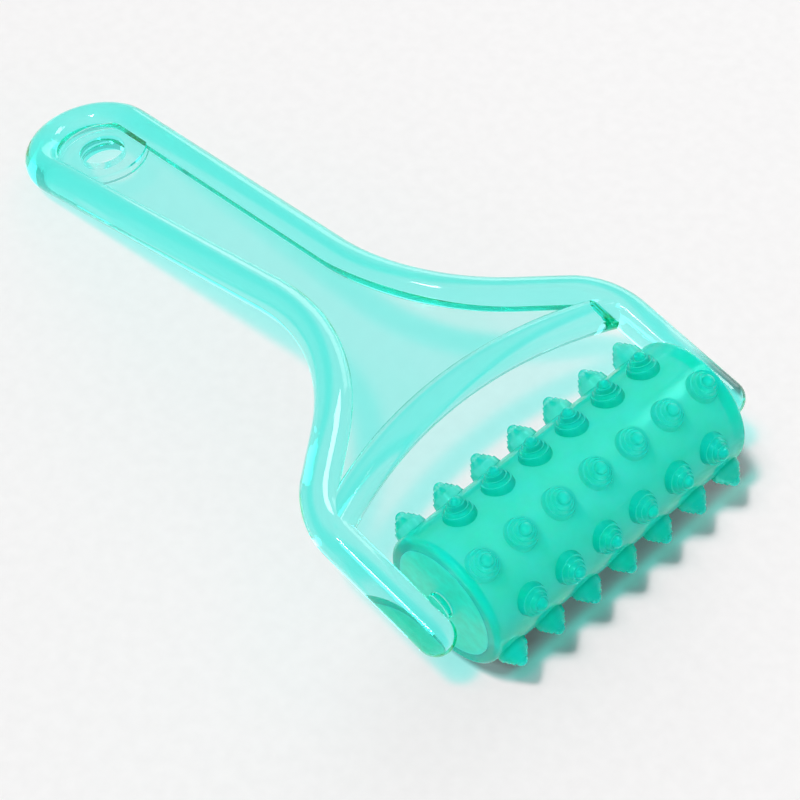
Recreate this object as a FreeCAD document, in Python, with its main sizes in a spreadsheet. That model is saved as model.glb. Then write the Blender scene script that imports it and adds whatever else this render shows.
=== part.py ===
import FreeCAD, Part

import math
import os

import Sketcher
from FreeCAD import Placement, Rotation, Vector

# Foot massage roller: a studded soft roller turning between the two arms of a clear moulded handle.
# The part lies as it rests on a table: +Z is up, +X points from the grip's tip to the roller, Y is
# the roller's axis, and the origin is on the table under the middle of the whole part.
# Every sub-part is drawn about the middle of the roller's axis and put in place by its Placement.

NAME = "foot_massage_roller"
OUT_DIR = "parts"
FULL_TURN = 360.0
# Lengths closer than this, in millimetres, count as the same.
SAME_LENGTH = 1e-6
SAME_RADIUS = 0.01

# Driving dimensions in millimetres and degrees.
DIMENSIONS = [
    # Roller: four rows of seven nubs and four of six between them, each row 45 degrees on.
    ("nub_pitch", 10.0),
    ("nubs_in_long_row", 7),
    ("nubs_in_short_row", 6),
    ("rows_of_each_kind", 4),
    ("drum_radius", 14.4),
    ("drum_length", 69.5),
    ("drum_edge_round", 1.1),
    ("nub_reach", 18.6),
    ("nub_root_radius", 13.2),
    # Each nub is a base frustum, two ring steps and a domed tip; heights are above the drum.
    ("nub_base_radius", 3.6),
    ("nub_shoulder_radius", 3.05),
    ("nub_shoulder_height", 1.35),
    ("ring_one_foot", 2.75),
    ("ring_one_top", 2.35),
    ("ring_one_height", 2.2),
    ("ring_two_foot", 2.1),
    ("ring_two_top", 1.7),
    ("ring_two_height", 3.0),
    ("nub_tip_round", 1.3),
    # Inside of the roller: a hard tube in the soft sleeve, and a bearing plug at each end.
    ("sleeve_bore_radius", 11.9),
    ("assembly_gap", 0.05),
    ("core_wall", 1.6),
    ("plug_flange", 2.4),
    ("plug_spigot", 6.0),
    ("plug_spigot_wall", 1.6),
    ("hub_radius", 4.6),
    ("hub_depth", 9.0),
    ("hub_bore_radius", 2.46),
    ("hub_bore_depth", 7.6),
    # Handle: one bead of round section runs from arm end to arm end around the whole outline.
    ("bead_radius", 3.95),
    ("arm_spacing", 81.0),
    ("arm_rise", 8.5),
    ("arm_overrun", 4.0),
    ("shoulder_distance", 29.4),
    ("shoulder_radius", 16.0),
    ("bend_distance", 54.7),
    ("neck_width", 14.8),
    ("neck_radius", 42.0),
    ("tip_distance", 161.6),
    ("tip_width", 24.6),
    ("web_thickness", 3.0),
    ("web_bend_radius", 96.0),
    ("crossbar_distance", 33.6),
    ("crossbar_radius", 94.0),
    # The crossbar and the web's edge end inside the arms' beads, this far short of their middles,
    # and the crossbar is thinner than the beads, so that its flat ends stay inside them.
    ("crossbar_bury", 1.0),
    ("crossbar_section_radius", 3.6),
    ("web_bury", 6.3),
    ("hang_hole_radius", 5.2),
    ("hang_hole_from_tip", 16.0),
    ("hang_boss_radius", 10.2),
    ("hang_boss_thickness", 4.0),
    ("hole_cutter_height", 16.0),
    ("pin_radius", 2.4),
    ("pin_reach", 7.0),
    ("pin_boss_radius", 2.9),
    ("end_float", 0.35),
]

# Lengths and angles that follow from the driving dimensions, as formulas of the sheet.
DERIVED = [
    ("row_phase", "=90 / rows_of_each_kind"),
    ("axle_height", "=(nub_reach - nub_tip_round) * cos(row_phase * 1deg) + nub_tip_round"),
    ("bend_height", "=axle_height + bend_distance * tan(arm_rise * 1deg)"),
    ("grip_run", "=tip_distance - bend_distance"),
    ("grip_drop", "=atan((bend_height - bead_radius) / grip_run) / 1deg"),
    ("front_reach", "=(nub_reach - nub_tip_round) * sin(3 * row_phase * 1deg) + nub_tip_round"),
    ("back_reach", "=tip_distance + bead_radius"),
    ("axle_x", "=(back_reach - front_reach) / 2"),
]


def make_sheet(doc):
    """Put every driving and derived dimension into one spreadsheet, under its own alias."""
    sheet = doc.addObject("Spreadsheet::Sheet", "sheet")
    for row, (alias, value) in enumerate(DIMENSIONS + DERIVED, start=1):
        sheet.set(f"A{row}", alias)
        sheet.set(f"B{row}", str(value))
        sheet.setAlias(f"B{row}", alias)
    doc.recompute()
    return sheet


def bind(thing, bindings):
    """Bind each property path of an object to a formula of the sheet."""
    for path, formula in bindings.items():
        thing.setExpression(path, formula)


def origin_plane(body, role):
    """Return the body's own origin feature of that role, such as XZ_Plane or Y_Axis."""
    return next(item for item in body.Origin.OriginFeatures if item.Role == role)


def add_sketch(body, name, plane):
    """Make a sketch of the body on one of its own origin planes."""
    sketch = body.newObject("Sketcher::SketchObject", name)
    sketch.AttachmentSupport = [(origin_plane(body, plane), "")]
    sketch.MapMode = "FlatFace"
    return sketch


def draw_outline(sketch, corners):
    """Draw a closed polygon whose corner coordinates are formulas of the sheet."""
    count = len(corners)
    values = [[float(sketch.evalExpression(part)) for part in corner] for corner in corners]
    points = [Vector(x, y, 0) for x, y in values]
    for index in range(count):
        sketch.addGeometry(Part.LineSegment(points[index], points[(index + 1) % count]), False)
    for index in range(count):
        sketch.addConstraint(Sketcher.Constraint("Coincident", index, 2, (index + 1) % count, 1))
    for index, corner in enumerate(corners):
        name_position(sketch, index, corner, points[index])


def spin_profile(body, profile):
    """Turn a sketch once round its body's Y axis."""
    feature = body.newObject("PartDesign::Revolution", profile.Name + "_turned")
    feature.Profile = (profile, [""])
    feature.ReferenceAxis = (origin_plane(body, "Y_Axis"), [""])
    feature.Angle = FULL_TURN
    return feature


def round_edges(body, base, radius, wanted):
    """Round the circular edges of a feature whose centre and radius pass the wanted test."""
    body.Document.recompute()
    names = []
    for index, edge in enumerate(base.Shape.Edges, start=1):
        if isinstance(edge.Curve, Part.Circle) and wanted(edge.Curve):
            names.append(f"Edge{index}")
    feature = body.newObject("PartDesign::Fillet", body.Name + "_round")
    feature.Base = (base, names)
    feature.setExpression("Radius", radius)
    return feature


def add_body(doc, name):
    """Make a PartDesign body whose label is the node's name."""
    body = doc.addObject("PartDesign::Body", name)
    body.Label = name
    return body


def place_on_axle(thing, turn="0"):
    """Stand a sub-part on the roller's axis, turned about it by a formula in degrees."""
    thing.Placement = Placement(Vector(0, 0, 0), Rotation(Vector(0, 1, 0), 1.0))
    bind(thing, {
        "Placement.Base.x": "sheet.axle_x",
        "Placement.Base.z": "sheet.axle_height",
        "Placement.Rotation.Angle": turn,
    })


def add_nub_row(body, name, count, turn):
    """Turn one nub about its own axis and repeat it along the drum and round it."""
    doc = body.Document
    profile = add_sketch(body, name + "_profile", "YZ_Plane")
    profile.AttachmentOffset = Placement(Vector(0, 0, 0), Rotation(Vector(1, 0, 0), 0.5))
    bind(profile, {
        "AttachmentOffset.Base.x": f"-(sheet.{count} - 1) / 2 * sheet.nub_pitch",
        "AttachmentOffset.Rotation.Angle": turn,
    })
    draw_nub(profile)
    nub = body.newObject("PartDesign::Revolution", name + "_nub")
    nub.Profile = (profile, [""])
    nub.ReferenceAxis = (profile, ["V_Axis"])
    nub.Angle = FULL_TURN
    doc.recompute()
    field = body.newObject("PartDesign::MultiTransform", name + "_field")
    along = body.newObject("PartDesign::LinearPattern", name + "_along")
    along.Direction = (origin_plane(body, "Y_Axis"), [""])
    bind(along, {"Length": f"(sheet.{count} - 1) * sheet.nub_pitch", "Occurrences": f"sheet.{count}"})
    around = body.newObject("PartDesign::PolarPattern", name + "_around")
    around.Axis = (origin_plane(body, "Y_Axis"), [""])
    around.Angle = FULL_TURN
    bind(around, {"Occurrences": "sheet.rows_of_each_kind"})
    field.Originals = [nub]
    field.Transformations = [along, around]
    body.Tip = field
    doc.recompute()
    return field


def draw_nub(sketch):
    """Draw half a nub: a base frustum, two ring steps and a domed tip, with its axis upright."""
    sheet = sketch.Document.sheet
    dome_centre = sheet.nub_reach - sheet.nub_tip_round
    corners = [
        ("0", "sheet.nub_root_radius"),
        ("sheet.nub_base_radius", "sheet.nub_root_radius"),
        ("sheet.nub_shoulder_radius", "sheet.drum_radius + sheet.nub_shoulder_height"),
        ("sheet.ring_one_foot", "sheet.drum_radius + sheet.nub_shoulder_height"),
        ("sheet.ring_one_top", "sheet.drum_radius + sheet.ring_one_height"),
        ("sheet.ring_two_foot", "sheet.drum_radius + sheet.ring_one_height"),
        ("sheet.ring_two_top", "sheet.drum_radius + sheet.ring_two_height"),
        ("sheet.nub_tip_round", "sheet.drum_radius + sheet.ring_two_height"),
        ("sheet.nub_tip_round", "sheet.nub_reach - sheet.nub_tip_round"),
        ("0", "sheet.nub_reach"),
    ]
    points = [Vector(*(float(sketch.evalExpression(part)) for part in corner), 0) for corner in corners]
    last = len(points) - 1
    for index in range(last - 1):
        sketch.addGeometry(Part.LineSegment(points[index], points[index + 1]), False)
    circle = Part.Circle(Vector(0, dome_centre, 0), Vector(0, 0, 1), sheet.nub_tip_round)
    dome = sketch.addGeometry(Part.ArcOfCircle(circle, 0, math.pi / 2), False)
    axis = sketch.addGeometry(Part.LineSegment(points[last], points[0]), False)
    for index in range(last - 2):
        sketch.addConstraint(Sketcher.Constraint("Coincident", index, 2, index + 1, 1))
    sketch.addConstraint(Sketcher.Constraint("Coincident", last - 2, 2, dome, 1))
    sketch.addConstraint(Sketcher.Constraint("Coincident", dome, 2, axis, 1))
    sketch.addConstraint(Sketcher.Constraint("Coincident", axis, 2, 0, 1))
    sketch.addConstraint(Sketcher.Constraint("PointOnObject", dome, 3, -2))
    for index, corner in enumerate(corners[:last]):
        name_position(sketch, index, corner, points[index])
    sketch.addConstraint(Sketcher.Constraint("PointOnObject", dome, 2, -2))


def name_position(sketch, index, corner, point):
    """Fix the start of a sketch edge at two named distances that follow formulas of the sheet."""
    for kind, axis, formula in (("DistanceX", "x", corner[0]), ("DistanceY", "y", corner[1])):
        if formula == "0":
            on_axis = -2 if axis == "x" else -1
            sketch.addConstraint(Sketcher.Constraint("PointOnObject", index, 1, on_axis))
            continue
        sketch.addConstraint(Sketcher.Constraint(kind, -1, 1, index, 1, getattr(point, axis)))
        label = f"corner_{index}_{axis}"
        sketch.renameConstraint(sketch.ConstraintCount - 1, label)
        sketch.setExpression(f"Constraints.{label}", formula)


def make_sleeve(doc):
    """Soft studded sleeve: a thick tube with all the nubs moulded on it."""
    body = add_body(doc, "roller_sleeve")
    profile = add_sketch(body, "sleeve_profile", "XY_Plane")
    draw_outline(profile, [
        ("sheet.sleeve_bore_radius", "-sheet.drum_length / 2"),
        ("sheet.drum_radius", "-sheet.drum_length / 2"),
        ("sheet.drum_radius", "sheet.drum_length / 2"),
        ("sheet.sleeve_bore_radius", "sheet.drum_length / 2"),
    ])
    tube = spin_profile(body, profile)
    doc.recompute()
    outer = doc.sheet.drum_radius
    round_edges(body, tube, "sheet.drum_edge_round", lambda circle: abs(circle.Radius - outer) < SAME_RADIUS)
    doc.recompute()
    add_nub_row(body, "long", "nubs_in_long_row", "0")
    add_nub_row(body, "short", "nubs_in_short_row", "180 / sheet.rows_of_each_kind")
    place_on_axle(body, "sheet.row_phase")
    return body


def make_core(doc):
    """Hard tube that keeps the soft sleeve round; the plugs close its two ends."""
    body = add_body(doc, "roller_core")
    profile = add_sketch(body, "core_profile", "XY_Plane")
    outer = "sheet.sleeve_bore_radius - sheet.assembly_gap"
    half = "(sheet.drum_length / 2 - sheet.plug_flange - sheet.assembly_gap)"
    draw_outline(profile, [
        (f"{outer} - sheet.core_wall", f"-{half}"),
        (outer, f"-{half}"),
        (outer, half),
        (f"{outer} - sheet.core_wall", half),
    ])
    spin_profile(body, profile)
    place_on_axle(body)
    return body


def make_plug(doc, name, side):
    """End plug: a flange in the sleeve's mouth, a spigot in the core and a hub for the pin."""
    body = add_body(doc, name)
    profile = add_sketch(body, name + "_profile", "XY_Plane")
    face = "sheet.drum_length / 2"
    rim = "sheet.sleeve_bore_radius - sheet.assembly_gap"
    spigot = f"{rim} - sheet.core_wall - sheet.assembly_gap"
    outline = [
        ("sheet.hub_bore_radius", face),
        (rim, face),
        (rim, f"{face} - sheet.plug_flange"),
        (spigot, f"{face} - sheet.plug_flange"),
        (spigot, f"{face} - sheet.plug_flange - sheet.plug_spigot"),
        (f"{spigot} - sheet.plug_spigot_wall", f"{face} - sheet.plug_flange - sheet.plug_spigot"),
        (f"{spigot} - sheet.plug_spigot_wall", f"{face} - sheet.plug_flange"),
        ("sheet.hub_radius", f"{face} - sheet.plug_flange"),
        ("sheet.hub_radius", f"{face} - sheet.hub_depth"),
        ("0", f"{face} - sheet.hub_depth"),
        ("0", f"{face} - sheet.hub_bore_depth"),
        ("sheet.hub_bore_radius", f"{face} - sheet.hub_bore_depth"),
    ]
    draw_outline(profile, [(x, f"{side} * ({y})") for x, y in outline])
    spin_profile(body, profile)
    place_on_axle(body)
    return body


class Corner:
    """A rounded corner of a path of straight runs: its two tangent points and its middle."""

    def __init__(self, before, vertex, after, radius):
        back = (before - vertex).normalize()
        ahead = (after - vertex).normalize()
        half_turn = (math.pi - back.getAngle(ahead)) / 2
        tangent = radius * math.tan(half_turn)
        inward = (back + ahead).normalize()
        self.start = vertex + back * tangent
        self.end = vertex + ahead * tangent
        self.middle = vertex + inward * (radius / math.cos(half_turn) - radius)


def mirrored(point):
    """Return the point on the other side of the handle's middle plane."""
    return Vector(point.x, -point.y, point.z)


class BeadPath:
    """Middle line of the handle's bead, from the far arm's end round the grip to the near one.

    The arms lie in a plane that rises from the axle, the grip in one that falls to its tip, and
    the two planes meet across the neck, so every bend of the line is a plane arc.
    """

    def __init__(self, sheet):
        rise = math.tan(math.radians(sheet.arm_rise))
        drop = math.tan(math.radians(sheet.grip_drop))
        half_arms = sheet.arm_spacing / 2
        bend = sheet.bend_distance
        tip = sheet.tip_distance
        tip_height = bend * rise - sheet.grip_run * drop
        self.arm_end = Vector(sheet.arm_overrun, half_arms, -sheet.arm_overrun * rise)
        shoulder_vertex = Vector(-sheet.shoulder_distance, half_arms, sheet.shoulder_distance * rise)
        neck_vertex = Vector(-bend, sheet.neck_width / 2, bend * rise)
        tip_vertex = Vector(-tip, sheet.tip_width / 2, tip_height)
        self.tip_middle = Vector(-tip, 0, tip_height)
        self.shoulder = Corner(self.arm_end, shoulder_vertex, neck_vertex, sheet.shoulder_radius)
        self.neck = Corner(shoulder_vertex, neck_vertex, tip_vertex, sheet.neck_radius)
        side = (neck_vertex - tip_vertex).getAngle(self.tip_middle - tip_vertex)
        tip_radius = sheet.tip_width / 2 * math.tan(side / 2)
        self.tip = Corner(neck_vertex, tip_vertex, self.tip_middle, tip_radius)

    def half(self, flat):
        """Return the edges from the far arm's end to the tip, or their plan view if flat."""
        def put(point):
            return Vector(point.x, point.y, 0) if flat else point

        edges = []
        at = put(self.arm_end)
        if flat:
            at = put(self.shoulder.start)
        for corner in (self.shoulder, self.neck, self.tip):
            if (put(corner.start) - at).Length > SAME_LENGTH:
                edges.append(Part.LineSegment(at, put(corner.start)).toShape())
            edges.append(Part.Arc(put(corner.start), put(corner.middle), put(corner.end)).toShape())
            at = put(corner.end)
        return edges

    def whole(self, flat=False):
        """Return the edges of both halves in one run, far arm to near arm."""
        edges = self.half(flat)
        other = [edge.mirror(Vector(0, 0, 0), Vector(0, 1, 0)) for edge in reversed(edges)]
        return edges + other


def arms_frame(sheet):
    """Placement of the plane of the arms: its X runs out along the arms, away from the grip."""
    return Placement(Vector(0, 0, 0), Rotation(Vector(0, 1, 0), sheet.arm_rise))


def crossbar_arc(sheet, half_span):
    """Middle line of the crossbar in the plane of the arms, out to a distance on each side."""
    radius = sheet.crossbar_radius
    centre = radius - sheet.crossbar_distance
    reach = math.sqrt(radius ** 2 - half_span ** 2)
    far = Vector(centre - reach, half_span, 0)
    near = Vector(centre - reach, -half_span, 0)
    middle = Vector(-sheet.crossbar_distance, 0, 0)
    frame = arms_frame(sheet)
    return [frame.multVec(point) for point in (far, middle, near)]


def add_shape(doc, name, shape):
    """Hold a wire or face that Part's own functions made from the sheet's values."""
    feature = doc.addObject("Part::Feature", name)
    feature.Shape = shape
    return feature


def add_bar(doc, name, path, start, heading, radius):
    """Sweep a round section, whose radius is a formula of the sheet, along a path."""
    section = doc.addObject("Part::Circle", name + "_section")
    section.Placement = Placement(start, Rotation(Vector(0, 0, 1), heading))
    section.setExpression("Radius", radius)
    bar = doc.addObject("Part::Sweep", name)
    bar.Sections = [section]
    bar.Spine = (path, [f"Edge{index + 1}" for index in range(len(path.Shape.Edges))])
    bar.Solid = True
    bar.Frenet = False
    return bar


def add_ball(doc, name, centre):
    """Round off the end of an arm."""
    ball = doc.addObject("Part::Sphere", name)
    ball.Placement = Placement(centre, Rotation())
    ball.setExpression("Radius", "sheet.bead_radius")
    return ball


def add_web(doc, path):
    """Thin bent plate that fills the outline of the bead, from the tip to the crossbar."""
    sheet = doc.sheet
    edges = path.whole(flat=True)
    far_arm = Vector(path.shoulder.start.x, path.shoulder.start.y, 0)
    span = sheet.arm_spacing / 2 - sheet.web_bury
    far, middle, near = [Vector(p.x, p.y, 0) for p in crossbar_arc(sheet, span)]
    edges += [
        Part.LineSegment(mirrored(far_arm), near).toShape(),
        Part.Arc(near, middle, far).toShape(),
        Part.LineSegment(far, far_arm).toShape(),
    ]
    plan_face = add_shape(doc, "web_plan", Part.Face(Part.Wire(Part.__sortEdges__(edges))))
    plan = doc.addObject("Part::Extrusion", "web_plan_prism")
    plan.Base = plan_face
    plan.DirMode = "Custom"
    plan.Dir = Vector(0, 0, 1)
    plan.Symmetric = True
    plan.setExpression("LengthFwd", "sheet.arm_spacing")
    plan.Solid = True
    side_face = add_shape(doc, "web_side", web_side(sheet, path))
    side = doc.addObject("Part::Extrusion", "web_side_prism")
    side.Base = side_face
    side.DirMode = "Custom"
    side.Dir = Vector(0, 1, 0)
    side.Symmetric = True
    side.setExpression("LengthFwd", "sheet.arm_spacing + 2 * sheet.bead_radius")
    side.Solid = True
    web = doc.addObject("Part::MultiCommon", "web")
    web.Shapes = [plan, side]
    return web


def web_side(sheet, path):
    """Side view of the web: a band that rises with the arms, bends and falls with the grip."""
    rise = math.radians(sheet.arm_rise)
    drop = math.radians(sheet.grip_drop)
    bend = Vector(-sheet.bend_distance, 0, sheet.bend_distance * math.tan(rise))
    arms_end = Vector(0, 0, 0)
    tip = path.tip_middle
    up_arms = Vector(math.sin(rise), 0, math.cos(rise))
    up_grip = Vector(-math.sin(drop), 0, math.cos(drop))
    half = sheet.web_thickness / 2
    sides = []
    for offset in (half, -half):
        start = arms_end + up_arms * offset
        end = tip + up_grip * offset
        middle = bend + (up_arms + up_grip).normalize() * (offset / math.cos((rise + drop) / 2))
        corner = Corner(start, middle, end, sheet.web_bend_radius + offset)
        sides.append([
            Part.LineSegment(start, corner.start).toShape(),
            Part.Arc(corner.start, corner.middle, corner.end).toShape(),
            Part.LineSegment(corner.end, end).toShape(),
        ])
    ends = []
    for position in (0, -1):
        top = sides[0][position].Vertexes[position].Point
        bottom = sides[1][position].Vertexes[position].Point
        ends.append(Part.LineSegment(top, bottom).toShape())
    edges = sides[0] + sides[1] + ends
    return Part.Face(Part.Wire(Part.__sortEdges__(edges)))


def grip_point(sheet, path, from_tip):
    """Point of the grip's middle line at a distance from the tip's bead."""
    drop = math.radians(sheet.grip_drop)
    return path.tip_middle + Vector(math.cos(drop), 0, math.sin(drop)) * from_tip


def add_grip_cylinder(doc, name, path, radius, height):
    """Cylinder that stands square to the grip, centred on its middle line at the hang hole."""
    sheet = doc.sheet
    tilt = Rotation(Vector(0, 1, 0), -sheet.grip_drop)
    centre = grip_point(sheet, path, sheet.hang_hole_from_tip)
    cylinder = doc.addObject("Part::Cylinder", name)
    bind(cylinder, {"Radius": radius, "Height": height})
    doc.recompute()
    half = float(cylinder.Height) / 2
    cylinder.Placement = Placement(centre - tilt.multVec(Vector(0, 0, half)), tilt)
    return cylinder


def add_axle_cylinder(doc, name, side, radius, inner, outer):
    """Cylinder on the roller's axis between two distances from the middle, on one side."""
    cylinder = doc.addObject("Part::Cylinder", name)
    cylinder.Placement = Placement(Vector(0, 0, 0), Rotation(Vector(1, 0, 0), -90 * side))
    bind(cylinder, {
        "Radius": radius,
        "Height": f"{outer} - ({inner})",
        "Placement.Base.y": f"{side} * ({inner})",
    })
    return cylinder


def make_handle(doc):
    """One clear moulding: bead, web, crossbar, hang-hole boss and the two pins for the roller."""
    sheet = doc.sheet
    path = BeadPath(sheet)
    pieces = []
    bead_wire = add_shape(doc, "bead_path", Part.Wire(path.whole()))
    arm_heading = path.shoulder.start - path.arm_end
    pieces.append(add_bar(doc, "bead", bead_wire, path.arm_end, arm_heading, "sheet.bead_radius"))
    far, middle, near = crossbar_arc(sheet, sheet.arm_spacing / 2 - sheet.crossbar_bury)
    bar_arc = Part.Arc(far, middle, near)
    bar_wire = add_shape(doc, "crossbar_path", Part.Wire([bar_arc.toShape()]))
    bar_heading = bar_arc.tangent(bar_arc.FirstParameter)[0]
    pieces.append(add_bar(doc, "crossbar", bar_wire, far, bar_heading, "sheet.crossbar_section_radius"))
    pieces.append(add_web(doc, path))
    pieces.append(add_grip_cylinder(
        doc, "hang_boss", path, "sheet.hang_boss_radius", "sheet.hang_boss_thickness"))
    for label, side, end in (("far", 1, path.arm_end), ("near", -1, mirrored(path.arm_end))):
        pieces.append(add_ball(doc, f"{label}_arm_ball", end))
        pieces.append(add_axle_cylinder(
            doc, f"{label}_pin_boss", side, "sheet.pin_boss_radius",
            "sheet.drum_length / 2 + sheet.end_float", "sheet.arm_spacing / 2"))
        pieces.append(add_axle_cylinder(
            doc, f"{label}_pin", side, "sheet.pin_radius",
            "sheet.drum_length / 2 - sheet.pin_reach", "sheet.arm_spacing / 2"))
    doc.recompute()
    solid = doc.addObject("Part::MultiFuse", "handle_solid")
    solid.Shapes = pieces
    solid.Refine = True
    hole = add_grip_cylinder(doc, "hang_hole", path, "sheet.hang_hole_radius", "sheet.hole_cutter_height")
    handle = doc.addObject("Part::Cut", "handle")
    handle.Base = solid
    handle.Tool = hole
    handle.Label = "handle"
    doc.recompute()
    place_on_axle(handle)
    return handle


def check(doc, nodes):
    """Stop if any object failed or any sub-part isn't one valid solid."""
    for thing in doc.Objects:
        states = set(thing.State)
        if states & {"Invalid", "Error"}:
            raise RuntimeError(f"{thing.Name} failed: {thing.State}")
    for node in nodes:
        shape = node.Shape
        if shape.isNull() or not shape.isValid():
            raise RuntimeError(f"{node.Label} has no valid shape")
        if len(shape.Solids) != 1:
            raise RuntimeError(f"{node.Label} is {len(shape.Solids)} solids")


def main():
    """Build the document, check it and write one STEP file for each sub-part."""
    os.makedirs(OUT_DIR, exist_ok=True)
    doc = FreeCAD.newDocument(NAME)
    make_sheet(doc)
    nodes = [
        make_handle(doc),
        make_sleeve(doc),
        make_core(doc),
        make_plug(doc, "end_plug_near", -1),
        make_plug(doc, "end_plug_far", 1),
    ]
    doc.recompute()
    check(doc, nodes)
    for node in nodes:
        node.Shape.exportStep(os.path.join(OUT_DIR, node.Label + ".step"))
        box = node.Shape.BoundBox
        print(node.Label, f"{node.Shape.Volume:.1f} mm3", f"x {box.XMin:.3f} {box.XMax:.3f}",
              f"y {box.YMin:.3f} {box.YMax:.3f}", f"z {box.ZMin:.3f} {box.ZMax:.3f}")


main()
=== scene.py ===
"""Foot massage roller: a clear tinted handle that carries a soft, milky roller with conical nubs.

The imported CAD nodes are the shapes. This script gives each one the finish of the plastic that it is
moulded from, and sets up the studio: a pale seamless floor, soft lamps and the camera.
"""
import logging
import math
from dataclasses import dataclass
from enum import Enum

import bpy
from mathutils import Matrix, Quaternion, Vector


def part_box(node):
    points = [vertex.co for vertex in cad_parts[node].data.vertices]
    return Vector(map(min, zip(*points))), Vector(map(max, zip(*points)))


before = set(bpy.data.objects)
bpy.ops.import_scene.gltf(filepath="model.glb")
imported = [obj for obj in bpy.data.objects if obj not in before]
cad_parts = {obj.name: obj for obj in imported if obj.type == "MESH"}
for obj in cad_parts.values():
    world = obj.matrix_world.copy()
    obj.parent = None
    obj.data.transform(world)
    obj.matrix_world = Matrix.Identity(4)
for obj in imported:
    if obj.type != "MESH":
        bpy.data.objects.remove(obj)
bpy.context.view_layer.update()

MM = 0.001
# A noise texture's values lie mostly between these two.
NOISE_LOW = 0.3
NOISE_HIGH = 0.7
# A wave texture at a scale of one repeats after this length, in its own units.
WAVE_REPEAT = math.pi / 10
# The roller's axle lies along Y, so that distances from it are measured along X and Z alone.
ACROSS_AXLE = (1.0, 0.0, 1.0)
WHITE = "#FFFFFF"

logging.basicConfig(level=logging.INFO, format="%(message)s")
log = logging.getLogger("massage_roller")


class Flow(Enum):
    """How far the unevenness of a surface is drawn out along X, Y and Z: less is longer."""

    EVEN = (1.0, 1.0, 1.0)
    ALONG_HANDLE = (0.3, 1.0, 1.0)
    ALONG_AXLE = (1.0, 0.04, 1.0)


class PlugSide(Enum):
    """The roller's two end plugs, by the name of their CAD node."""

    NEAR = "end_plug_near"
    FAR = "end_plug_far"


def linear(hex_colour: str) -> tuple[float, float, float, float]:
    """Turn an sRGB hex colour into the linear colour that shaders use.

    Args:
        hex_colour: six hex digits after a hash sign.

    Returns:
        Red, green, blue and an alpha of one, all linear.
    """
    channels = [int(hex_colour[i:i + 2], 16) / 255 for i in (1, 3, 5)]
    # The sRGB curve has a short straight foot and then a power.
    curved = [c / 12.92 if c <= 0.04045 else ((c + 0.055) / 1.055) ** 2.4 for c in channels]
    return (*curved, 1.0)


def add_node(
    tree: bpy.types.NodeTree, kind: str, settings: dict[str | int, object] | None = None,
    links: dict[str | int, bpy.types.NodeSocket] | None = None, **fields: object,
) -> bpy.types.Node:
    """Add one node to a tree.

    Args:
        tree: the node tree that gets the node.
        kind: Blender's type name for the node.
        settings: input socket values, by socket name or number.
        links: output sockets of other nodes, by the input that they feed.
        fields: the node's own properties, such as blend_type.

    Returns:
        The new node.
    """
    node = tree.nodes.new(kind)
    for name, value in fields.items():
        setattr(node, name, value)
    for name, value in (settings or {}).items():
        node.inputs[name].default_value = value
    for name, socket in (links or {}).items():
        tree.links.new(socket, node.inputs[name])
    return node


def empty_material(name: str) -> tuple[bpy.types.Material, bpy.types.NodeTree]:
    """Make a material with an empty node tree.

    Args:
        name: the material's name.

    Returns:
        The material and its tree.
    """
    material = bpy.data.materials.new(name)
    material.use_nodes = True
    material.node_tree.nodes.clear()
    return material, material.node_tree


def dress(node: str, material: bpy.types.Material) -> None:
    """Put a material in every slot of a CAD node.

    Args:
        node: the CAD node's name.
        material: its finish.
    """
    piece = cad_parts[node]
    if not piece.material_slots:
        piece.data.materials.append(material)
    for slot in piece.material_slots:
        slot.material = material
    log.info("%s: %s, %d faces", node, material.name, len(piece.data.polygons))


@dataclass(frozen=True)
class Grain:
    """Unevenness that a mould leaves: how far apart its high spots are and how high, in mm.

    One with no height varies the colour and leaves the surface flat.
    """

    spacing: float
    height: float = 0.0
    flow: Flow = Flow.EVEN
    detail: float = 3.0

    def pattern(self, tree: bpy.types.NodeTree) -> bpy.types.NodeSocket:
        """Add the pattern to a tree.

        Args:
            tree: the finish's node tree.

        Returns:
            The pattern's value, from 0 to 1 with most of it near a half.
        """
        place = add_node(tree, "ShaderNodeTexCoord")
        drawn = add_node(
            tree, "ShaderNodeMapping", {"Scale": self.flow.value}, {"Vector": place.outputs["Object"]})
        noise = add_node(
            tree, "ShaderNodeTexNoise", {"Scale": 1.0 / (self.spacing * MM), "Detail": self.detail},
            {"Vector": drawn.outputs[0]})
        return noise.outputs[0]

    def relief(
        self, tree: bpy.types.NodeTree, pattern: bpy.types.NodeSocket,
        under: bpy.types.NodeSocket | None = None,
    ) -> bpy.types.NodeSocket:
        """Raise the pattern on the surface.

        Args:
            tree: the finish's node tree.
            pattern: the pattern's value.
            under: the surface direction that it is laid on, or None for the plain mesh.

        Returns:
            The new surface direction.
        """
        links = {"Height": pattern}
        if under is not None:
            links["Normal"] = under
        bump = add_node(tree, "ShaderNodeBump", {"Distance": self.height * MM}, links)
        return bump.outputs[0]


def spread(
    tree: bpy.types.NodeTree, pattern: bpy.types.NodeSocket, low: float, high: float,
) -> bpy.types.NodeSocket:
    """Turn a pattern into a number that varies over the surface.

    Args:
        tree: the finish's node tree.
        pattern: a value from 0 to 1, mostly between NOISE_LOW and NOISE_HIGH.
        low: the number where the pattern is low.
        high: the number where it is high.

    Returns:
        The varying number.
    """
    scale = add_node(tree, "ShaderNodeMapRange", {
        "From Min": NOISE_LOW, "From Max": NOISE_HIGH, "To Min": low, "To Max": high,
    }, {"Value": pattern})
    return scale.outputs[0]


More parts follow.
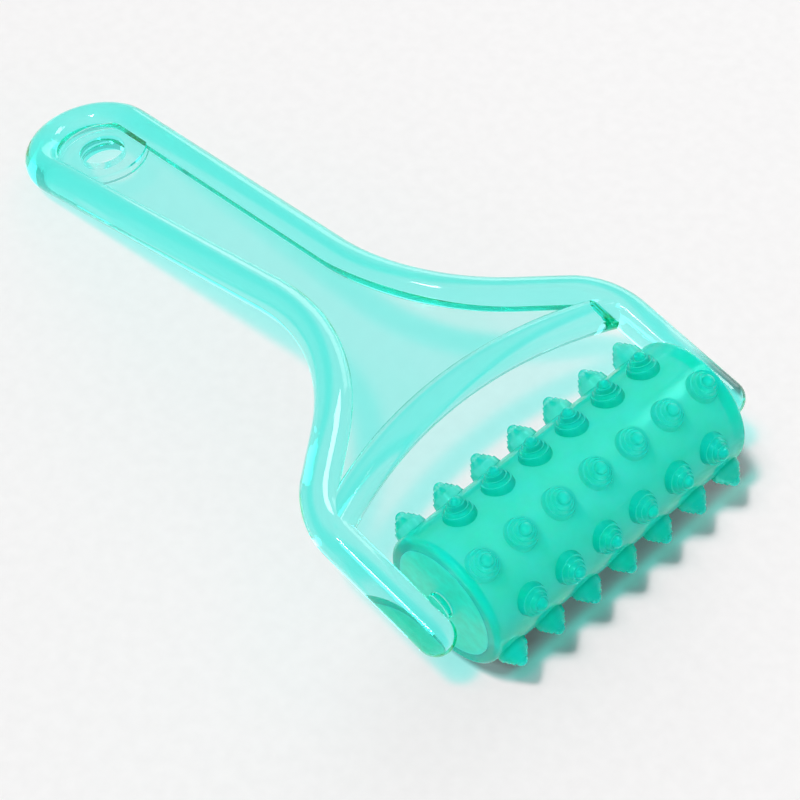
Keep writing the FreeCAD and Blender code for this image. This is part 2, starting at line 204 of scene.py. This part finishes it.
def shade(
    tree: bpy.types.NodeTree, pattern: bpy.types.NodeSocket, dark: str, light: str,
) -> bpy.types.NodeSocket:
    """Turn a pattern into a colour that varies over the surface.

    Args:
        tree: the finish's node tree.
        pattern: a value from 0 to 1, mostly between NOISE_LOW and NOISE_HIGH.
        dark: the colour where the pattern is low.
        light: the colour where it is high.

    Returns:
        The varying colour.
    """
    ramp = add_node(tree, "ShaderNodeValToRGB", links={"Fac": pattern})
    ends = ramp.color_ramp.elements
    ends[0].position, ends[0].color = NOISE_LOW, linear(dark)
    ends[1].position, ends[1].color = NOISE_HIGH, linear(light)
    return ramp.outputs[0]


def let_light_through(
    tree: bpy.types.NodeTree, surface: bpy.types.NodeSocket,
    passed: float | bpy.types.NodeSocket,
) -> bpy.types.NodeSocket:
    """Let the rays that only carry light to a matt surface go straight on through the plastic.

    What lies under it or inside it is then lit softly and in its colour, as by the real thing.

    Args:
        tree: the finish's node tree.
        surface: the surface that every other ray meets.
        passed: the share of the light that each crossing lets on, or a pattern of it.

    Returns:
        The finished surface.
    """
    path = add_node(tree, "ShaderNodeLightPath")
    straight = add_node(tree, "ShaderNodeBsdfTransparent")
    if isinstance(passed, float):
        straight.inputs["Color"].default_value = (passed, passed, passed, 1.0)
    else:
        tree.links.new(passed, straight.inputs["Color"])
    for ray in ("Is Shadow Ray", "Is Diffuse Ray"):
        blend = add_node(
            tree, "ShaderNodeMixShader",
            links={0: path.outputs[ray], 1: surface, 2: straight.outputs[0]})
        surface = blend.outputs[0]
    return surface


def finish_material(
    tree: bpy.types.NodeTree, surface: bpy.types.NodeSocket,
    loss: tuple[float, float, float] | None = None,
) -> None:
    """End a finish's tree in its output, with its colour in the mass if it has one.

    Args:
        tree: the finish's node tree.
        surface: the finished surface.
        loss: how strongly red, green and blue fade per metre of the plastic, or None for one
            that has its colour on the surface.
    """
    output = add_node(tree, "ShaderNodeOutputMaterial", links={"Surface": surface})
    if loss is not None:
        most = max(loss)
        depth = add_node(tree, "ShaderNodeVolumeAbsorption", {
            "Color": (*[1.0 - part / most for part in loss], 1.0), "Density": most})
        tree.links.new(depth.outputs[0], output.inputs["Volume"])


@dataclass(frozen=True)
class ClearAquaPolystyrene:
    """Injection-moulded general-purpose polystyrene, polished, with an aqua dye in the mass.

    The eye sees thin webs pale and thick beads deep, sharp white glints, and a faint waviness
    where the melt flowed and shrank, which bends what shows through.
    """

    index: float = 1.53
    loss: tuple[float, float, float] = (145.0, 2.5, 9.0)
    passed: float = 1.0
    pale: str = "#F6FFFD"
    # Shrinkage waves are a few wall thicknesses apart. Polish lines are far finer than this on the
    # real tool, and are drawn coarse enough to show.
    waves: Grain = Grain(9.0, 0.03, Flow.ALONG_HANDLE, 1.0)
    polish: Grain = Grain(1.2, 0.0006, Flow.ALONG_HANDLE)
    smooth: float = 0.008
    worn: float = 0.03

    def build(self) -> bpy.types.Material:
        """Build the finish.

        Returns:
            The finish.
        """
        material, tree = empty_material("clear_aqua_polystyrene")
        waves = self.waves.pattern(tree)
        polish = self.polish.pattern(tree)
        wavy = self.waves.relief(tree, waves)
        surface = add_node(tree, "ShaderNodeBsdfPrincipled", {
            "Transmission Weight": 1.0,
            "IOR": self.index,
        }, {
            "Base Color": shade(tree, waves, self.pale, WHITE),
            "Roughness": spread(tree, polish, self.smooth, self.worn),
            "Normal": self.polish.relief(tree, polish, wavy),
        })
        finish_material(tree, let_light_through(tree, surface.outputs[0], self.passed), self.loss)
        return material


@dataclass(frozen=True)
class CloudyMintElastomer:
    """Soft vinyl-like elastomer, cloudy mint, moulded in a lightly blasted tool.

    The eye sees a satin skin, light that soaks into each nub and glows out of its tip, and the
    pale core where the wall is thin.
    """

    index: float = 1.38
    loss: tuple[float, float, float] = (220.0, 18.0, 30.0)
    passed_by_wall: float = 0.85
    passed_by_nub: float = 0.76
    wall_radius: float = 14.5
    nub_radius: float = 16.0
    clear_roughness: float = 0.06
    clear_shine: str = "#70FFF0"
    cloud: float = 0.5
    cloud_dark: str = "#0AF4D2"
    cloud_light: str = "#14FFE2"
    cloud_shine: str = "#50FFEA"
    cloud_reach: tuple[float, float, float] = (0.7, 2.0, 1.7)
    # Pigment gathers in patches about as wide as a nub. The grain of the blasted tool is drawn
    # three times too coarse, to show at all.
    pigment: Grain = Grain(5.0)
    blasting: Grain = Grain(0.45, 0.010)
    satin: float = 0.07
    dull: float = 0.17

    def passed_by_radius(self, tree: bpy.types.NodeTree, axle: Vector) -> bpy.types.NodeSocket:
        """Let much light into the thin drum wall and less through the thick nubs.

        Args:
            tree: the finish's node tree.
            axle: a point of the roller's axis, in metres.

        Returns:
            The share of the light that a crossing lets on, by its distance from the axis.
        """
        place = add_node(tree, "ShaderNodeTexCoord")
        from_axle = add_node(
            tree, "ShaderNodeVectorMath", {1: axle}, {0: place.outputs["Object"]}, operation="SUBTRACT")
        across = add_node(
            tree, "ShaderNodeVectorMath", {1: ACROSS_AXLE}, {0: from_axle.outputs[0]},
            operation="MULTIPLY")
        radius = add_node(
            tree, "ShaderNodeVectorMath", links={0: across.outputs[0]}, operation="LENGTH")
        share = add_node(tree, "ShaderNodeMapRange", {
            "From Min": self.wall_radius * MM, "From Max": self.nub_radius * MM,
            "To Min": self.passed_by_wall, "To Max": self.passed_by_nub,
        }, {"Value": radius.outputs["Value"]})
        return share.outputs[0]

    def build(self, axle: Vector) -> bpy.types.Material:
        """Build the finish.

        Args:
            axle: a point of the roller's axis, in metres.

        Returns:
            The finish.
        """
        material, tree = empty_material("cloudy_mint_elastomer")
        blasting = self.blasting.pattern(tree)
        skin = self.blasting.relief(tree, blasting)
        clear = add_node(tree, "ShaderNodeBsdfPrincipled", {
            "Base Color": linear(WHITE),
            "Transmission Weight": 1.0,
            "Roughness": self.clear_roughness,
            "IOR": self.index,
            "Specular Tint": linear(self.clear_shine),
        }, {"Normal": skin})
        cloud = add_node(tree, "ShaderNodeBsdfPrincipled", {
            "IOR": self.index,
            "Specular Tint": linear(self.cloud_shine),
            "Subsurface Weight": 1.0,
            "Subsurface Radius": self.cloud_reach,
            "Subsurface Scale": MM,
        }, {
            "Base Color": shade(tree, self.pigment.pattern(tree), self.cloud_dark, self.cloud_light),
            "Roughness": spread(tree, blasting, self.satin, self.dull),
            "Normal": skin,
        })
        blend = add_node(
            tree, "ShaderNodeMixShader", {0: self.cloud}, {1: clear.outputs[0], 2: cloud.outputs[0]})
        passed = self.passed_by_radius(tree, axle)
        finish_material(tree, let_light_through(tree, blend.outputs[0], passed), self.loss)
        return material


@dataclass(frozen=True)
class MilkyPolypropylene:
    """Extruded natural polypropylene tube: milky white, waxy, with faint lines from the die.

    The eye sees it only through the sleeve, as the pale glow behind the drum.
    """

    dark: str = "#DCFBF0"
    light: str = "#F2FFFB"
    index: float = 1.49
    cloud_reach: tuple[float, float, float] = (1.0, 2.0, 2.0)
    passed: float = 0.68
    die_lines: Grain = Grain(0.8, 0.02, Flow.ALONG_AXLE)
    waxy: float = 0.26
    dull: float = 0.40

    def build(self) -> bpy.types.Material:
        """Build the finish.

        Returns:
            The finish.
        """
        material, tree = empty_material("milky_white_polypropylene")
        lines = self.die_lines.pattern(tree)
        body = add_node(tree, "ShaderNodeBsdfPrincipled", {
            "IOR": self.index,
            "Subsurface Weight": 1.0,
            "Subsurface Radius": self.cloud_reach,
            "Subsurface Scale": MM,
        }, {
            "Base Color": shade(tree, lines, self.dark, self.light),
            "Roughness": spread(tree, lines, self.waxy, self.dull),
            "Normal": self.die_lines.relief(tree, lines),
        })
        finish_material(tree, let_light_through(tree, body.outputs[0], self.passed))
        return material


@dataclass(frozen=True)
class MintPlugPolypropylene:
    """Injection-moulded mint polypropylene, from a tool whose end face was turned on a lathe.

    The eye sees fine rings round the pin, a satin skin and a slightly mottled colour.
    """

    dark: str = "#0CE4C4"
    light: str = "#16F6D8"
    index: float = 1.49
    cloud_reach: tuple[float, float, float] = (1.0, 2.0, 2.0)
    passed: float = 0.6
    mottle: Grain = Grain(2.5, 0.006)
    # Turning marks are 0.1 mm apart on the real tool and are drawn at 0.9 mm to show at all.
    ring_spacing: float = 0.9
    satin: float = 0.305
    dull: float = 0.325

    def build(self, axle: Vector) -> bpy.types.Material:
        """Build the finish.

        Args:
            axle: a point of the roller's axis, in metres.

        Returns:
            The finish.
        """
        material, tree = empty_material("mint_plug_polypropylene")
        mottle = self.mottle.pattern(tree)
        place = add_node(tree, "ShaderNodeTexCoord")
        centred = add_node(
            tree, "ShaderNodeMapping", {"Location": -axle}, {"Vector": place.outputs["Object"]})
        rings = add_node(
            tree, "ShaderNodeTexWave", {"Scale": WAVE_REPEAT / (self.ring_spacing * MM)},
            {"Vector": centred.outputs[0]}, wave_type="RINGS", rings_direction="Y")
        body = add_node(tree, "ShaderNodeBsdfPrincipled", {
            "IOR": self.index,
            "Subsurface Weight": 1.0,
            "Subsurface Radius": self.cloud_reach,
            "Subsurface Scale": MM,
        }, {
            "Base Color": shade(tree, mottle, self.dark, self.light),
            "Roughness": spread(tree, rings.outputs[1], self.satin, self.dull),
            "Normal": self.mottle.relief(tree, mottle),
        })
        finish_material(tree, let_light_through(tree, body.outputs[0], self.passed))
        return material


@dataclass(frozen=True)
class SeamlessPaper:
    """Matt background paper off a studio roll: even, with a mottle too faint to see at a glance."""

    dark: str = "#F2F1F1"
    light: str = "#F5F4F4"
    tooth: Grain = Grain(3.0)
    matt: float = 0.9
    gloss: float = 0.2

    def build(self) -> bpy.types.Material:
        """Build the finish.

        Returns:
            The finish.
        """
        material, tree = empty_material("seamless_paper")
        tooth = self.tooth.pattern(tree)
        paper = add_node(tree, "ShaderNodeBsdfPrincipled", {
            "Roughness": self.matt, "Specular IOR Level": self.gloss,
        }, {"Base Color": shade(tree, tooth, self.dark, self.light)})
        finish_material(tree, paper.outputs[0])
        return material


@dataclass
class Handle:
    """The one-piece handle: bead, web, crossbar, hang hole and the roller's two pins."""

    node: str = "handle"
    finish: ClearAquaPolystyrene = ClearAquaPolystyrene()

    def dress(self) -> None:
        """Give the handle its finish."""
        dress(self.node, self.finish.build())


@dataclass
class Roller:
    """The roller: a studded sleeve on a tube, with a bearing plug in each end."""

    sleeve_node: str = "roller_sleeve"
    core_node: str = "roller_core"
    sleeve_finish: CloudyMintElastomer = CloudyMintElastomer()
    core_finish: MilkyPolypropylene = MilkyPolypropylene()
    plug_finish: MintPlugPolypropylene = MintPlugPolypropylene()

    def axle(self) -> Vector:
        """Return the middle of the roller's axis."""
        low, high = (Vector(corner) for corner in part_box(self.core_node))
        return (low + high) / 2

    def dress(self) -> None:
        """Give the sleeve, the core and both plugs their finishes."""
        dress(self.sleeve_node, self.sleeve_finish.build(self.axle()))
        dress(self.core_node, self.core_finish.build())
        plug = self.plug_finish.build(self.axle())
        for side in PlugSide:
            dress(side.value, plug)


@dataclass
class StudioFloor:
    """The seamless pale sheet that the handle's tip and the roller rest on."""

    width: float = 6.0
    finish: SeamlessPaper = SeamlessPaper()

    def build(self) -> None:
        """Lay the sheet on the ground plane."""
        half = self.width / 2
        corners = [(-half, -half, 0.0), (half, -half, 0.0), (half, half, 0.0), (-half, half, 0.0)]
        mesh = bpy.data.meshes.new("floor")
        mesh.from_pydata(corners, [], [(0, 1, 2, 3)])
        mesh.materials.append(self.finish.build())
        floor = bpy.data.objects.new("floor", mesh)
        bpy.context.scene.collection.objects.link(floor)
        log.info("floor: %s", mesh.materials[0].name)


@dataclass(frozen=True)
class SoftBox:
    """One rectangular lamp that faces the middle of the part.

    Place and size are in metres, the size level first, and power is in watts. A lamp that doesn't
    shine gives light but isn't mirrored by glossy surfaces, and one that doesn't fill is only
    mirrored.
    """

    name: str
    place: tuple[float, float, float]
    size: tuple[float, float]
    power: float
    shines: bool = True
    fills: bool = True

    def build(self) -> None:
        """Hang the lamp."""
        light = bpy.data.lights.new(self.name, "AREA")
        light.shape = "RECTANGLE"
        light.size, light.size_y = self.size
        light.energy = self.power
        lamp = bpy.data.objects.new(self.name, light)
        bpy.context.scene.collection.objects.link(lamp)
        lamp.location = self.place
        lamp.visible_glossy = self.shines
        lamp.visible_diffuse = self.fills
        lamp.rotation_mode = "QUATERNION"
        lamp.rotation_quaternion = (-Vector(self.place)).to_track_quat("-Z", "Y")
        log.info("%s lamp: %.1f W", self.name, self.power)


@dataclass(frozen=True)
class DistantKey:
    """The key lamp, so far off that it lights the whole floor alike; glossy surfaces don't mirror it.

    It shines past the given point, in metres from the middle of the part, with its strength in
    watts per square metre and the width that it seems to have in degrees.
    """

    name: str = "key"
    past: tuple[float, float, float] = (-0.044, -0.510, 1.467)
    strength: float = 2.22
    width: float = 6.6

    def build(self) -> None:
        """Hang the lamp."""
        light = bpy.data.lights.new(self.name, "SUN")
        light.energy = self.strength
        light.angle = math.radians(self.width)
        lamp = bpy.data.objects.new(self.name, light)
        bpy.context.scene.collection.objects.link(lamp)
        lamp.location = self.past
        lamp.visible_glossy = False
        lamp.rotation_mode = "QUATERNION"
        lamp.rotation_quaternion = (-Vector(self.past)).to_track_quat("-Z", "Y")
        log.info("%s lamp: %.1f W/m2", self.name, self.strength)


@dataclass
class Studio:
    """A white room, a key lamp high on the near side with a strip beside it, and lamps all round.

    The strip, the glint and the back lamp draw the highlights; the fill and the card open the
    shadows.
    """

    room: float = 0.14
    # Painted reflection: the room is brighter where the camera sees it, where it is mirrored and where
    # it shows through the clear plastic than in the light that it gives, and this brightness lights
    # nothing.
    painted_room_reflection: float = 0.62
    bounces: int = 32
    key: DistantKey = DistantKey()
    lamps: tuple[SoftBox, ...] = (
        SoftBox("strip", (-0.098, -0.617, 1.473), (0.36, 0.10), 3.2),
        SoftBox("fill", (-0.25, 0.93, 0.87), (0.7, 0.5), 0.8, shines=False),
        SoftBox("back", (-0.40, 0.90, 0.24), (1.1, 0.42), 2.5),
        SoftBox("glint", (0.07, 0.81, 1.00), (0.42, 0.42), 4.4, fills=False),
        SoftBox("card", (0.78, -0.05, 0.22), (0.5, 0.2), 0.8, shines=False),
    )

    def build(self) -> None:
        """Set the world, the ray depth and the view, and hang the lamps."""
        scene = bpy.context.scene
        world = bpy.data.worlds.new("white_room")
        scene.world = world
        world.use_nodes = True
        tree = world.node_tree
        tree.nodes.clear()
        path = add_node(tree, "ShaderNodeLightPath")
        seen = path.outputs["Is Camera Ray"]
        for ray in ("Is Transmission Ray", "Is Glossy Ray"):
            either = add_node(
                tree, "ShaderNodeMath", links={0: seen, 1: path.outputs[ray]}, operation="MAXIMUM")
            seen = either.outputs[0]
        # Painted reflection: the room is brighter for camera, glossy and transmission rays than for the
        # rays that carry its light.
        strength = add_node(
            tree, "ShaderNodeMapRange", {"To Min": self.room, "To Max": self.painted_room_reflection},
            {"Value": seen})
        glow = add_node(
            tree, "ShaderNodeBackground", {"Color": linear(WHITE)}, {"Strength": strength.outputs[0]})
        add_node(tree, "ShaderNodeOutputWorld", links={"Surface": glow.outputs[0]})
        # A light map of one fixed size samples the room alike in every view.
        world.cycles.sampling_method = "MANUAL"
        # Light crosses many walls of the clear handle, and is mirrored inside its beads.
        scene.cycles.max_bounces = self.bounces
        scene.cycles.glossy_bounces = self.bounces
        scene.cycles.transmission_bounces = self.bounces
        scene.cycles.transparent_max_bounces = self.bounces
        scene.view_settings.view_transform = "Standard"
        scene.view_settings.look = "None"
        self.key.build()
        for lamp in self.lamps:
            lamp.build()


@dataclass
class ProductCamera:
    """A long lens that looks down on the roller from the near front corner.

    Its aim is given from the middle of the roller's axis.
    """

    azimuth: float = 47.84
    elevation: float = 50.93
    roll: float = -1.83
    distance: float = 0.46652
    aim: tuple[float, float, float] = (-0.045529, -0.002777, -0.007283)
    lens: float = 102.47
    sensor: float = 36.0
    nearest: float = 0.01

    def build(self, axle: Vector) -> None:
        """Place the camera and make it the scene's.

        Args:
            axle: the middle of the roller's axis, in metres.
        """
        data = bpy.data.cameras.new("camera")
        data.lens = self.lens
        data.sensor_width = self.sensor
        data.clip_start = self.nearest
        camera = bpy.data.objects.new("camera", data)
        bpy.context.scene.collection.objects.link(camera)
        turn, lift = math.radians(self.azimuth), math.radians(self.elevation)
        back = Vector((
            math.sin(turn) * math.cos(lift), -math.cos(turn) * math.cos(lift), math.sin(lift)))
        camera.location = axle + Vector(self.aim) + back * self.distance
        camera.rotation_mode = "QUATERNION"
        tilt = Quaternion((0.0, 0.0, 1.0), math.radians(self.roll))
        camera.rotation_quaternion = (-back).to_track_quat("-Z", "Y") @ tilt
        bpy.context.scene.camera = camera
        log.info("camera: %.0f mm lens", self.lens)


def main() -> None:
    """Dress the nodes and build the studio, in order."""
    roller = Roller()
    Handle().dress()
    roller.dress()
    StudioFloor().build()
    Studio().build()
    ProductCamera().build(roller.axle())


if __name__ == "__main__":
    main()
